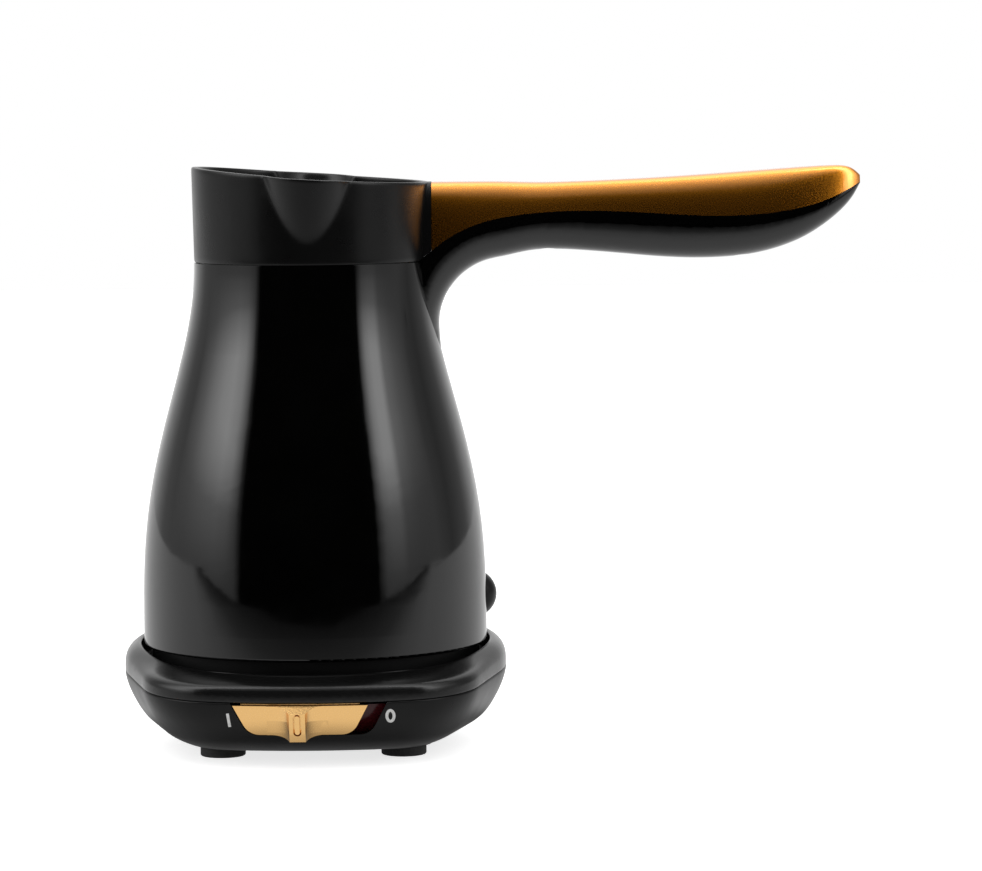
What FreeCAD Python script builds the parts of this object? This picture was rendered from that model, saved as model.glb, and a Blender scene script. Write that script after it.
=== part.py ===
import FreeCAD
import Part
import math
import os

from FreeCAD import Vector

# Sizes are in millimetres and angles in degrees. The origin is on the pot's axis, on the table.
# +Z is up, +X points along the handle and -Y points to the front, where the switch is.

# Length well past the whole part, for cuts that go right through it
through = 400.0

# Pot shell, seen from above: the base and everything round the pot follow the belly and the neck
belly_radius = 55.1
neck_radius = 37.5

# Base, seen from above: a round back, two straight cheeks and a flatter front
rim_width = 6.2
base_radius = belly_radius + rim_width
nose_bulge = 4.7
nose_reach = base_radius + nose_bulge
nose_radius = 130.0
cheek_radius = 30.0
cheek_angle = 15.0
outline_points = 128

# Base, seen from the side: the seam between its two shells drops towards the front
foot_height = 3.6
seam_height = 24.8
seam_slope = 0.0523
seam_groove = 0.45
rim_rise_side = 8.7
rim_rise_front = 7.3
base_wall = 2.0
skirt_wall = 3.0
tray_rise = 2.2
tray_floor = seam_height + tray_rise
tray_thickness = 2.0
tray_clearance = 0.8
base_screw_circle = 34.0
boss_radius = 3.6

# Feet: a disc that stands on the table, and a stem plugged into the bowl's boss
foot_radius = 7.15
foot_spacing = 57.2
foot_boss_radius = 8.75
foot_recess = 1.0
foot_clearance = 0.1
foot_edge = 0.6
stem_radius = 2.6
stem_length = 3.0
stem_boss_wall = 1.6

# Cord inlet at the back of the bowl: a rubber bush in the wall, and a clamp bar just inside
inlet_height = 15.0
inlet_radius = 3.5
bush_neck_radius = 5.2
bush_flange_radius = 6.8
bush_flange = 1.6
bush_recess = 0.8
bush_clearance = 0.2
inlet_boss_wall = 1.7
inlet_boss_depth = 12.5
clamp_distance = 8.6
clamp_spacing = 17.0
clamp_length = 23.0
clamp_width = 5.0
clamp_thickness = 3.5

# Pot shell: a bell that runs from the belly up to the neck
pot_stand = 5.6
pot_height = 122.2
belly_rise = 7.4
pot_bottom = tray_floor + pot_stand
belly_height = pot_bottom + belly_rise
neck_height = pot_bottom + pot_height
bell_power = 1.32
bottom_corner = 1.0
shell_wall = 2.2
spigot_step = 1.5
spigot_radius = neck_radius - spigot_step
spigot_height = 4.0
ledge_rise = 5.0
ledge_height = pot_bottom + ledge_rise
ledge_width = 8.6
ledge_thickness = 2.0

# Collar: its rim falls towards the handle, and it has a spout at the front and one at the back
collar_step = 0.1
collar_flare = 0.6
collar_radius_low = neck_radius - collar_step
collar_radius_high = collar_radius_low + collar_flare
collar_wall = 2.2
collar_gap = 0.2
collar_height_near = 25.2
collar_height_far = 30.5
rim_height_near = neck_height + collar_height_near
rim_height_far = neck_height + collar_height_far
rim_sag = 0.6
spout_depth = 20.2
spout_reach = 8.0
spout_nose_radius = 11.0
spout_softness = 0.3
spout_points = 240
boss_reach = 1.2

# Handle: its root turns down a round arc into the shell
handle_root = collar_radius_low + boss_reach
handle_gap = 0.1
tongue_length = 1.8
tongue_half_width = 7.0
tongue_clearance = 0.15
handle_length = 136.9
handle_height = rim_height_near
handle_root_width = 26.0
handle_waist_width = 20.0
handle_grip_width = 24.0
handle_taper = 0.34
handle_wall = 2.2
root_radius = 22.0
root_reach = 23.9
root_drop = 20.8
root_height = neck_height - root_drop
root_depth = 12.0
tip_start = 0.74
tip_blunt = 0.16
tip_corner = 0.96
tip_drop = 3.2

# Slide switch
slider_travel = 5.2
plate_width = 41.8
plate_foot_width = 32.0
plate_top_gap = 0.65
plate_foot_height = 11.1
plate_corner = 5.5
plate_proud = 0.4
plate_thickness = 1.9
plate_lip_width = 36.8
plate_lip_height = 0.5
window_clearance = 0.3
rib_width = 5.0
rib_offset = -0.8
rib_reach = 4.2
rib_flare = 7.0
rib_foot_drop = 2.7
rib_top_drop = 2.6
slot_width = 2.5
slot_depth = 1.6
pip_width = 1.5
carriage_thickness = 1.3
carriage_gap = 0.2
knob_width = 2.8
lens_thickness = 1.3
lamp_radius = 2.3
lamp_length = 9.0
blade_thickness = 0.8
tab_width = 4.8

# Cup, heater and connector
cup_wall = 0.6
cup_gap = 2.4
cup_rise = 19.4
cup_floor = pot_bottom + cup_rise
cup_corner = 8.0
cup_flange = 2.0
cup_neck_radius = spigot_radius - cup_flange
seal_thickness = 2.4
heater_radius = 34.0
heater_thickness = 3.0
element_radius = 26.0
element_tube_radius = 3.2
element_gap = 50.0
element_pin_radius = 1.3
element_pin_length = 4.5
thermostat_radius = 6.5
thermostat_height = 5.0
thermostat_offset = 12.0
strap_thickness = 0.5
strap_span = 17.0
strap_width = 5.0
fuse_offset = 16.0
fuse_radius = 1.9
fuse_length = 11.0
tower_radius = 13.0
tower_rise = 13.0
tower_height = tray_floor + tower_rise
flange_reach = 11.0
flange_thickness = 2.5
connector_clearance = 0.6
pin_radius = 2.4
collet_radius = 3.4
running_clearance = 0.05
ring_radius = 9.0
ring_wall = 0.9
seat_gap = 0.2
cover_thickness = 2.0
foot_ring_wall = 2.2
lead_radius = 0.9

# Fasteners and small clearances
screw_radius = 1.5
screw_head_radius = 2.8
screw_head_height = 1.8
screw_slot_width = 0.8
screw_clearance = 0.2
head_clearance = 0.3
post_radius = 3.0
fit_gap = 0.1

# Small domed cap low on the shell, behind the line of the handle
cap_angle = 12.0
cap_rise = 13.7
cap_radius = 7.4
cap_dome = 4.4


def turned(points):
    """Solid of revolution about the pot's axis from a closed outline of (radius, height) points."""
    outline = Part.makePolygon([Vector(r, 0, z) for r, z in points + points[:1]])
    return Part.Face(outline).revolve(Vector(0, 0, 0), Vector(0, 0, 1), 360)


def tube(outer, inner, low, high, centre=(0.0, 0.0)):
    """Upright tube between two heights."""
    place = Vector(centre[0], centre[1], low)
    body = Part.makeCylinder(outer, high - low, place)
    return body.cut(Part.makeCylinder(inner, high - low, place))


def rod(radius, low, high, centre=(0.0, 0.0)):
    """Upright cylinder between two heights."""
    return Part.makeCylinder(radius, high - low, Vector(centre[0], centre[1], low))


def box(x, y, z):
    """Box from three (low, high) pairs."""
    size = [high - low for low, high in (x, y, z)]
    return Part.makeBox(*size, Vector(x[0], y[0], z[0]))


def joined(shapes):
    """One solid from shapes that overlap."""
    result = shapes[0]
    for shape in shapes[1:]:
        result = result.fuse(shape)
    return result.removeSplitter()


def around(count, radius, start=0.0):
    """Places of a pattern on a circle, as (x, y) pairs."""
    steps = [math.radians(start + 360.0 * k / count) for k in range(count)]
    return [(radius * math.cos(a), radius * math.sin(a)) for a in steps]


def skin(rows):
    """Smooth closed tube of surface whose rows are rings of points, capped flat at both ends."""
    ring, last = len(rows[0]), len(rows) - 1
    surface = Part.BSplineSurface()
    row_knots = [float(k) for k in range(last - 1)]
    row_counts = [4] + [1] * (last - 3) + [4]
    ring_knots = [float(k) for k in range(ring + 1)]
    surface.buildFromPolesMultsKnots(
        rows, row_counts, [1] * (ring + 1), row_knots, ring_knots, False, True, 3, 3
    )
    side = surface.toShape()
    ends = [e for e in side.Edges if e.isClosed() and not e.isSeam(side.Faces[0])]
    caps = [Part.Face(Part.Wire([e])) for e in ends]
    solid = Part.makeSolid(Part.makeShell([side.Faces[0]] + caps))
    solid.fix(1e-4, 1e-4, 1e-3)
    if solid.Volume < 0:
        solid.reverse()
    return solid


def smooth_line(points, x):
    """Height at x of a smooth line through (x, z) points."""
    k = 0
    while k < len(points) - 2 and x > points[k + 1][0]:
        k += 1

    def slope(i):
        low, high = max(i - 1, 0), min(i + 1, len(points) - 1)
        return (points[high][1] - points[low][1]) / (points[high][0] - points[low][0])

    (x0, z0), (x1, z1) = points[k], points[k + 1]
    span = x1 - x0
    t = (x - x0) / span
    start, end = slope(k) * span, slope(k + 1) * span
    bend = 2 * (z0 - z1) + start + end
    return z0 + start * t + (3 * (z1 - z0) - 2 * start - end) * t**2 + bend * t**3


def base_outline():
    """Points of the base's plan with their outward directions, from the back round to the back."""
    a = math.radians(cheek_angle)
    across, along = Vector(math.cos(a), -math.sin(a)), Vector(-math.sin(a), -math.cos(a))
    nose = Vector(0, nose_radius - nose_reach)
    # The cheek's corner touches the straight cheek and the front arc.
    start = across * (base_radius - cheek_radius) - nose
    b, c = start.dot(along), start.dot(start) - (nose_radius - cheek_radius) ** 2
    straight = -b + math.sqrt(b * b - c)
    corner = across * (base_radius - cheek_radius) + along * straight
    out = corner - nose
    nose_angle = math.atan2(out.y, out.x)
    back_length = base_radius * (math.pi / 2 + a)
    corner_length = cheek_radius * (-a - nose_angle)
    nose_length = nose_radius * (nose_angle + math.pi / 2)
    half = back_length + straight + corner_length + nose_length

    def at(s):
        if s < back_length:
            angle, centre, radius = math.pi / 2 - s / base_radius, Vector(0, 0), base_radius
        elif s < back_length + straight:
            return across * base_radius + along * (s - back_length), across
        elif s < back_length + straight + corner_length:
            s -= back_length + straight
            angle, centre, radius = -a - s / cheek_radius, corner, cheek_radius
        else:
            s -= back_length + straight + corner_length
            angle, centre, radius = nose_angle - s / nose_radius, nose, nose_radius
        direction = Vector(math.cos(angle), math.sin(angle))
        return centre + direction * radius, direction

    right = [at(half * 2 * k / outline_points) for k in range(outline_points // 2 + 1)]
    left = [(Vector(-p.x, p.y), Vector(-d.x, d.y)) for p, d in reversed(right[1:-1])]
    return right + left


def seam_at(y):
    """Height of the base's seam at a distance behind the axis."""
    return seam_height + seam_slope * y


# Section of the base's rim: how far across from the outside to the tray's wall, and its height
# above the seam as a share of the rise, beside the axis and at the front.
rim_section = [
    (0.0, 0.02, 0.03),
    (0.0, 0.07, 0.09),
    (0.0, 0.17, 0.22),
    (0.0, 0.32, 0.42),
    (0.04, 0.49, 0.6),
    (0.13, 0.66, 0.72),
    (0.3, 0.81, 0.79),
    (0.52, 0.92, 0.85),
    (0.74, 0.985, 0.92),
    (0.9, 1.0, 0.99),
    (0.98, 0.97, 1.0),
    (1.0, 0.9, 0.93),
]
# Section of the bowl: inset from the seam's outline, and height as a share of the bowl's height
bowl_section = [
    (seam_groove, 1.0),
    (0.0, 0.99),
    (0.0, 0.97),
    (0.15, 0.92),
    (0.55, 0.84),
    (1.6, 0.7),
    (3.4, 0.53),
    (5.3, 0.38),
    (7.5, 0.26),
    (10.4, 0.165),
    (14.2, 0.07),
    (18.2, 0.012),
    (22.0, 0.0),
]
tray_radius = belly_radius + tray_clearance
nose_centre = Vector(0, nose_radius - nose_reach)
nose_seam = seam_at(-nose_reach)
tray_under = tray_floor - tray_thickness


def bowl_profile(seam, depth):
    """Bowl section as (inset, height) points, sunk by a depth square to its surface."""
    height = seam - foot_height
    outer = [(d, foot_height + share * height) for d, share in bowl_section[1:]]
    if depth == 0:
        return [(seam_groove, seam)] + outer
    sunk = []
    for k, (d, z) in enumerate(outer):
        before, after = outer[max(k - 1, 0)], outer[min(k + 1, len(outer) - 1)]
        run, drop = after[0] - before[0], before[1] - after[1]
        length = math.hypot(run, drop)
        sunk.append((d + depth * drop / length, z + depth * run / length))
    sunk[-1] = (outer[-1][0], foot_height + depth)
    return [(sunk[0][0], seam)] + sunk


def offset_ring(inset_heights):
    """Ring of points round the base's plan, one (inset, height) pair for each."""
    outline = base_outline()
    return [
        Vector(p.x - d.x * inset, p.y - d.y * inset, z)
        for (p, d), (inset, z) in zip(outline, inset_heights)
    ]


def bowl_solid(depth, top=0.0):
    """The bowl's outer form, or the space inside it at a depth, up to a height above the seam."""
    columns = [bowl_profile(seam_at(p.y), depth) for p, _ in base_outline()]
    rows = [offset_ring([column[k] for column in columns]) for k in range(len(columns[0]))]
    rows[0] = [Vector(p.x, p.y, seam_at(p.y) + top) for p in rows[0]]
    return skin(rows)


def nose_band(near, far):
    """Shell of the front face between two depths, turned about the front face's own axis."""

    def section(depth):
        points = bowl_profile(nose_seam, depth)[1:]
        curve = Part.BSplineCurve()
        curve.buildFromPolesMultsKnots(
            [Vector(0, nose_centre.y - nose_radius + d, z) for d, z in points],
            [4] + [1] * (len(points) - 4) + [4],
            [float(k) for k in range(len(points) - 2)],
            False,
            3,
        )
        return curve.toShape()

    first, second = section(near), section(far)
    ends = [
        Part.makeLine(first.Vertexes[0].Point, second.Vertexes[0].Point),
        Part.makeLine(first.Vertexes[-1].Point, second.Vertexes[-1].Point),
    ]
    face = Part.Face(Part.Wire(Part.__sortEdges__([first, second] + ends)))
    span = 50.0
    face.rotate(nose_centre, Vector(0, 0, 1), -span / 2)
    return face.revolve(nose_centre, Vector(0, 0, 1), span)


def front_prism(outline, corner=0.0):
    """Outline of (x, z) points pushed through the front of the base, its lower corners rounded."""
    start, deep = nose_reach + 12.0, 46.0
    wire = Part.makePolygon([Vector(x, -start, z) for x, z in outline + outline[:1]])
    prism = Part.Face(wire).extrude(Vector(0, deep, 0))
    if corner:
        foot = min(z for _, z in outline)
        edges = [
            e
            for e in prism.Edges
            if abs(e.Vertexes[0].Z - foot) < 1e-6 and abs(e.Vertexes[0].X - e.Vertexes[-1].X) < 1e-6
            and abs(e.Vertexes[0].Z - e.Vertexes[-1].Z) < 1e-6
        ]
        prism = prism.makeFillet(corner, edges)
    return prism


def plate_outline(centre, extra_right=0.0, grow=0.0):
    """Front outline of the slider's plate, or of a window that is wider on the right."""
    top = nose_seam + 5.0 if grow else nose_seam - plate_top_gap
    foot = plate_foot_height - grow
    slope = (plate_width - plate_foot_width) / 2 / (nose_seam - plate_top_gap - plate_foot_height)
    half_foot = plate_foot_width / 2 + grow
    half_top = half_foot + slope * (top - foot)
    return [
        (centre - half_top, top),
        (centre - half_foot, foot),
        (centre + half_foot + extra_right, foot),
        (centre + half_top + extra_right, top),
    ]


slider_centre = -slider_travel / 2


def slider_window():
    """Opening in the bowl's front that the slider shows through."""
    outline = plate_outline(slider_centre, slider_travel, window_clearance)
    return front_prism(outline, plate_corner)


# Handle lines from its root to its tip: share of the length, height above the root's top edge
handle_top_line = [(0.0, 0.0), (0.24, -0.5), (0.51, 0.7), (0.71, 2.4), (0.91, 4.1), (1.0, 4.2)]
handle_split_line = [
    (0.0, -21.8),
    (0.05, -17.0),
    (0.11, -13.3),
    (0.2, -10.7),
    (0.34, -9.5),
    (0.54, -10.6),
    (0.7, -11.4),
    (0.8, -10.4),
    (0.9, -7.6),
    (0.96, -4.2),
    (1.0, -1.2),
]
handle_belly_line = [
    (0.175, -23.0),
    (0.24, -21.6),
    (0.38, -22.6),
    (0.54, -24.8),
    (0.66, -25.3),
    (0.75, -24.1),
    (0.85, -20.1),
    (0.93, -13.3),
    (0.98, -6.7),
    (1.0, -1.7),
]
handle_width_line = [
    (0.0, handle_root_width / 2),
    (0.3, handle_waist_width / 2),
    (0.5, handle_waist_width / 2 + 0.6),
    (0.72, handle_grip_width / 2),
    (0.85, handle_grip_width / 2 - 0.4),
    (1.0, handle_grip_width / 2 - 2.0),
]
# Where the sections stand along the straight part, and round the root from level to upright
handle_stations = [0.24, 0.33, 0.43, 0.53, 0.63, 0.73, 0.8, 0.86, 0.9, 0.93, 0.955, 0.975, 0.988, 0.996, 1.0]
root_angles = [180.0, 165.0, 150.0, 135.0, 120.0, 105.0, 90.0]
section_points = 44
crown_power = 6.0
belly_power = 2.3
hollow_end = 0.9


def handle_section(edge, direction, depth, middle, half_width):
    """Ring of points across the handle, from its lower edge across to its top."""
    ring = []
    for k in range(section_points):
        a = 2 * math.pi * (k + 0.5) / section_points
        upper = math.sin(a) > 0
        power = crown_power if upper else belly_power
        width = math.copysign(abs(math.cos(a)) ** (2 / power), math.cos(a)) * half_width
        share = abs(math.sin(a)) ** (2 / power)
        if upper:
            width *= 1 - handle_taper * share
            distance = middle + (depth - middle) * share
        else:
            distance = middle * (1 - share)
        ring.append(Vector(edge[0] + direction[0] * distance, width, edge[1] + direction[1] * distance))
    return ring


def handle_form(inset=0.0):
    """The handle's whole outside, or the hollow inside it."""
    rows = []
    centre_x = handle_root + root_reach
    root_width = smooth_line(handle_width_line, 0.0)
    if not inset:
        for sink, drop in ((2.5, 26.0), (1.5, 13.0)):
            edge = (centre_x - root_radius + sink, root_height - drop)
            rows.append(handle_section(edge, (-1.0, 0.0), 2.2 * root_depth, root_depth, root_width - 2.0))
    for angle in root_angles:
        if inset and angle > 120.0:
            continue
        a = math.radians(angle)
        direction = (math.cos(a), math.sin(a))
        reach = min((handle_height - root_height) / max(direction[1], 0.01), 3.4 * root_radius)
        depth = reach - root_radius
        share = (180.0 - angle) / 90.0
        width = root_width + (smooth_line(handle_width_line, root_reach / handle_length) - root_width) * share
        edge = (
            centre_x + direction[0] * (root_radius + inset),
            root_height + direction[1] * (root_radius + inset),
        )
        rows.append(
            handle_section(edge, direction, depth - 2 * inset, root_depth - inset, width - inset)
        )
    for share in handle_stations:
        if inset and share > hollow_end:
            continue
        x = handle_root + share * handle_length
        low = handle_height + smooth_line(handle_belly_line, share)
        split = handle_height + smooth_line(handle_split_line, share)
        top = handle_height + smooth_line(handle_top_line, share)
        width = smooth_line(handle_width_line, share)
        if share > tip_start:
            reach = (share - tip_start) / (1 - tip_start)
            width *= math.sqrt(1 - (1 - tip_blunt**2) * reach**2)
        if share > tip_corner:
            top -= tip_drop * ((share - tip_corner) / (1 - tip_corner)) ** 2
        depth = top - low
        middle = min(split - low, 0.75 * depth)
        rows.append(
            handle_section(
                (x, low + inset), (0.0, 1.0), depth - 2 * inset, middle - inset, width - inset
            )
        )
    return skin(rows)


def above_seam(lift=0.0):
    """Everything above the line that parts collar and handle cover from the shell."""
    side = through / 2
    root = [(-side, neck_height), (handle_root - 4.1, neck_height)]
    split = [
        (handle_root + share * handle_length, handle_height + z) for share, z in handle_split_line
    ]
    root.append((split[0][0] - 0.1, split[0][1] - 0.1))
    curve = Part.BSplineCurve()
    curve.interpolate([Vector(x, -side, z + lift) for x, z in split])
    end = split[-1][0] + 10.0
    corners = [Vector(x, -side, z + lift) for x, z in root]
    edges = [Part.makeLine(a, b) for a, b in zip(corners, corners[1:])]
    edges.append(Part.makeLine(corners[-1], curve.StartPoint))
    edges.append(curve.toShape())
    tail = [
        curve.EndPoint,
        Vector(end, -side, split[-1][1] + lift),
        Vector(end, -side, through),
        Vector(-side, -side, through),
        corners[0],
    ]
    edges += [Part.makeLine(a, b) for a, b in zip(tail, tail[1:])]
    return Part.Face(Part.Wire(edges)).extrude(Vector(0, through, 0))


def bell_radius(z):
    """Outer radius of the pot's shell at a height."""
    if z <= belly_height:
        return belly_radius
    share = (z - belly_height) / (neck_height - belly_height)
    return neck_radius + (belly_radius - neck_radius) * (1 + math.cos(math.pi * share**bell_power)) / 2


def bell_solid(inset, low, high, corner=0.0):
    """Solid inside the bell, sunk by an inset, between two heights."""
    levels = [belly_height + (high - belly_height) * k / 9 for k in range(10)]
    curve = Part.BSplineCurve()
    curve.interpolate([Vector(bell_radius(z) - inset, 0, z) for z in levels])
    radius = belly_radius - inset
    edges = [curve.toShape(), Part.makeLine(curve.EndPoint, Vector(0, 0, high))]
    edges.append(Part.makeLine(Vector(0, 0, high), Vector(0, 0, low)))
    edges.append(Part.makeLine(Vector(0, 0, low), Vector(radius - corner, 0, low)))
    if corner:
        bulge = corner * (1 - math.sqrt(0.5))
        arc = Part.Arc(
            Vector(radius - corner, 0, low),
            Vector(radius - bulge, 0, low + bulge),
            Vector(radius, 0, low + corner),
        )
        edges.append(arc.toShape())
    edges.append(Part.makeLine(Vector(radius, 0, low + corner), curve.StartPoint))
    return Part.Face(Part.Wire(edges)).revolve(Vector(0, 0, 0), Vector(0, 0, 1), 360)


def rim_height(x):
    """Height of the collar's rim, which sags a little between its high and low side."""
    share = x / collar_radius_high
    middle = (rim_height_far + rim_height_near) / 2
    return middle - (rim_height_far - rim_height_near) / 2 * share - rim_sag * (1 - share**2)


def spout_bulge(angle, z, x):
    """How far the collar stands out at a spout."""
    rim = rim_height(x)
    rise = (z - (rim - spout_depth)) / spout_depth
    sideways = collar_radius_high * math.cos(angle)
    form = spout_reach * rise - sideways**2 / (2 * spout_nose_radius)
    return (form + math.hypot(form, spout_softness)) / 2


# Collar section from its lower outer edge over the rim and down inside: share of the height
collar_shares = [0.0, 0.01, 0.05, 0.1] + [0.15 + 0.05 * k for k in range(16)] + [0.935, 0.97]


def collar_form():
    """The collar with its spouts, solid up to the shelf that the cup hangs under."""
    count = spout_points
    shelf = neck_height + spigot_height + seal_thickness + cup_wall + 1.5
    low = neck_height + collar_gap

    def ring(height_at, radius_at):
        points = []
        for k in range(count):
            a = 2 * math.pi * k / count
            x = collar_radius_high * math.cos(a)
            z = height_at(x)
            r = radius_at(z) + spout_bulge(a, z, x)
            points.append(Vector(r * math.cos(a), r * math.sin(a), z))
        return points

    def outer(z):
        share = (z - low) / (rim_height_far - low)
        return collar_radius_low + (collar_radius_high - collar_radius_low) * share

    def inner(z):
        return outer(z) - collar_wall

    rows = [ring(lambda x: low, lambda z: collar_radius_low - 0.3)]
    for share in collar_shares[1:]:
        rows.append(ring(lambda x, s=share: low + s * (rim_height(x) - low), outer))
    rows.append(ring(lambda x: rim_height(x) - 0.15, lambda z: outer(z) - 0.1))
    rows.append(ring(rim_height, lambda z: outer(z) - 0.5))
    rows.append(ring(rim_height, lambda z: inner(z) + 0.5))
    rows.append(ring(lambda x: rim_height(x) - 0.15, lambda z: inner(z) + 0.1))
    for share in reversed([s for s in collar_shares if s > 0.4]):
        rows.append(ring(lambda x, s=share: shelf + s * (rim_height(x) - shelf), inner))
    rows.append(ring(lambda x: shelf + 2.0, inner))
    rows.append(ring(lambda x: shelf, inner))
    return skin(rows)


def screw(place, top, shank_length, direction=1):
    """Screw with its head at the bottom, its shank pointing up, or down for direction -1."""
    x, y = place
    head = Part.makeCylinder(screw_head_radius, screw_head_height, Vector(0, 0, 0))
    shank = Part.makeCylinder(screw_radius, shank_length + screw_head_height, Vector(0, 0, 0))
    width, length = screw_slot_width, 2 * screw_head_radius
    slot = Part.makeBox(width, length, width, Vector(-width / 2, -length / 2, 0))
    cross = Part.makeBox(length, width, width, Vector(-length / 2, -width / 2, 0))
    result = head.fuse(shank).cut(slot.fuse(cross))
    if direction < 0:
        result.rotate(Vector(0, 0, 0), Vector(1, 0, 0), 180)
    result.translate(Vector(x, y, top))
    return result


def wire(points, radius, bend):
    """Insulated lead along straight runs with rounded bends."""
    edges, start = [], points[0]
    for before, corner, after in zip(points, points[1:], points[2:]):
        into, out = (corner - before).normalize(), (after - corner).normalize()
        turn = math.acos(max(-1.0, min(1.0, into.dot(out))))
        trim = bend * math.tan(turn / 2)
        first, last = corner - into * trim, corner + out * trim
        middle = (out - into).normalize()
        mid = corner + middle * (bend / math.cos(turn / 2) - bend)
        edges.append(Part.makeLine(start, first))
        edges.append(Part.Arc(first, mid, last).toShape())
        start = last
    edges.append(Part.makeLine(start, points[-1]))
    path = Part.Wire(edges)
    circle = Part.Wire([Part.makeCircle(radius, points[0], points[1] - points[0])])
    return path.makePipeShell([circle], True, False)


parts = {}
os.makedirs("parts", exist_ok=True)

# Fastener places, shared by the pieces that they hold together
base_screw_places = [around(1, base_screw_circle, angle)[0] for angle in (90.0, 200.0, 340.0)]
foot_places = {
    "foot_front_left": (-foot_spacing / 2, -foot_spacing / 2),
    "foot_front_right": (foot_spacing / 2, -foot_spacing / 2),
    "foot_back_left": (-foot_spacing / 2, foot_spacing / 2),
    "foot_back_right": (foot_spacing / 2, foot_spacing / 2),
}
boss_split = tray_under - 2.0
floor_top = foot_height + base_wall

# Rubber feet
foot_top = foot_height + foot_recess
for name, place in foot_places.items():
    disc = rod(foot_radius, 0.0, foot_top, place)
    rims = [e for e in disc.Edges if abs(e.BoundBox.ZMax) < 1e-6]
    disc = disc.makeFillet(foot_edge, rims)
    parts[name] = disc.fuse(rod(stem_radius, foot_top, foot_top + stem_length, place))

# Where the back wall stands at the cord inlet's height
inlet_share = (inlet_height - foot_height) / (seam_at(base_radius) - foot_height)
inlet_inset = smooth_line([(share, inset) for inset, share in reversed(bowl_section[3:])], inlet_share)
inlet_face = base_radius - inlet_inset
inlet_wall = inlet_face - base_wall
bush_inner = inlet_wall - 1.5


def rearward(radius, near, far, height=inlet_height, x=0.0):
    """Cylinder that lies front to back, between two distances behind the axis."""
    return Part.makeCylinder(radius, far - near, Vector(x, near, height), Vector(0, 1, 0))


# Bowl of the base: walls, window, foot and screw bosses, switch posts and cord inlet
bowl_outer = bowl_solid(0.0)
bowl_space = bowl_solid(base_wall, 5.0)
stem_top = foot_top + stem_length
bosses = [rod(foot_boss_radius, foot_height - 0.2, floor_top + 2.5, p) for p in foot_places.values()]
bosses += [rod(stem_radius + stem_boss_wall, floor_top, stem_top + 1.0, p) for p in foot_places.values()]
columns = [rod(boss_radius, floor_top - 0.5, boss_split, p) for p in base_screw_places]
bowl = joined([bowl_outer.cut(bowl_space)] + bosses + columns)
for place in foot_places.values():
    bowl = bowl.cut(rod(foot_radius + foot_clearance, foot_height - 1.0, foot_top, place))
    bowl = bowl.cut(rod(stem_radius, foot_top, stem_top, place))
for place in base_screw_places:
    bowl = bowl.cut(rod(screw_head_radius + head_clearance, foot_height - 1.0, floor_top + 3.0, place))
    bowl = bowl.cut(rod(screw_radius + screw_clearance, floor_top, boss_split + 1.0, place))
boss_front, boss_face = bush_inner - inlet_boss_depth, inlet_face + bush_recess
inlet_boss = rearward(bush_flange_radius + inlet_boss_wall, boss_front, boss_face)
bowl = bowl.fuse(inlet_boss.cut(bowl_space))
bowl = bowl.fuse(inlet_boss.common(rearward(through, inlet_wall - 2.5, through)))
flange_hole = bush_flange_radius + bush_clearance
bowl = bowl.cut(rearward(bush_neck_radius, boss_front, through))
bowl = bowl.cut(rearward(flange_hole, inlet_face - bush_recess, through))
bowl = bowl.cut(rearward(flange_hole, bush_inner - inlet_boss_depth, bush_inner))
bowl = bowl.cut(slider_window())

bush_outer = inlet_face - bush_recess
bush_back = bush_outer + bush_flange
bush = rearward(bush_neck_radius, bush_inner - bush_flange, bush_back)
bush = bush.fuse(rearward(bush_flange_radius, bush_outer, bush_back))
bush = bush.fuse(rearward(bush_flange_radius, bush_inner - bush_flange, bush_inner))
parts["cord_gland"] = bush.cut(rearward(inlet_radius, bush_inner - bush_flange, through))

# Upper shell of the base: outer rim, tray wall, tray floor with the hole for the connector
outline = base_outline()


def rim_ring(across, side_share, front_share):
    """Ring of the rim's section, blended from its side form to its front form."""
    points = []
    for p, _ in outline:
        inner = Vector(p.x, p.y).normalize() * tray_radius
        spot = Vector(p.x, p.y) * (1 - across) + inner * across
        front = max(0.0, min(1.0, (-p.y - 8.0) / 34.0))
        front = front * front * (3 - 2 * front)
        rise = rim_rise_side * side_share * (1 - front) + rim_rise_front * front_share * front
        points.append(Vector(spot.x, spot.y, seam_at(p.y * (1 - across * 0.05)) + rise))
    return points


def tray_ring(radius, height):
    """Level ring of the tray's wall, in step with the rim's rings."""
    return [Vector(p.x, p.y, 0).normalize() * radius + Vector(0, 0, height) for p, _ in outline]


groove_ring = [Vector(p.x - d.x * seam_groove, p.y - d.y * seam_groove) for p, d in outline]
rows = [[Vector(p.x, p.y, seam_at(p.y)) for p in groove_ring]]
rows += [rim_ring(*section) for section in rim_section]
wall_foot = max(seam_at(base_radius) + 0.3, tray_floor + 1.0)
rows.append(tray_ring(tray_radius, wall_foot + 1.0))
rows.append(tray_ring(tray_radius, wall_foot))
cover = skin(rows)
hollow_ring = [Vector(p.x - d.x * skirt_wall, p.y - d.y * skirt_wall, 0) for p, d in outline]
hollow = Part.Face(Part.makePolygon(hollow_ring + hollow_ring[:1])).extrude(Vector(0, 0, tray_under))
cover = cover.cut(hollow)
tray_hole = tower_radius + 0.3
flange_radius = tower_radius + flange_reach
pan = rod(tray_radius + 1.6, tray_under, wall_foot + 0.5)
pan_space = turned(
    [
        (0.0, tray_floor),
        (tray_radius - 1.3, tray_floor),
        (tray_radius - 1.0, tray_floor + 0.3),
        (tray_radius - 0.2, wall_foot),
        (tray_radius - 0.2, wall_foot + 1.0),
        (0.0, wall_foot + 1.0),
    ]
)
cover_bosses = [rod(boss_radius, boss_split, tray_under + 0.5, p) for p in base_screw_places]
connector_screw_places = around(3, (tower_radius + flange_radius) / 2 + 1.0, 30.0)
cover = joined([cover, pan] + cover_bosses).cut(pan_space)
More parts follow.
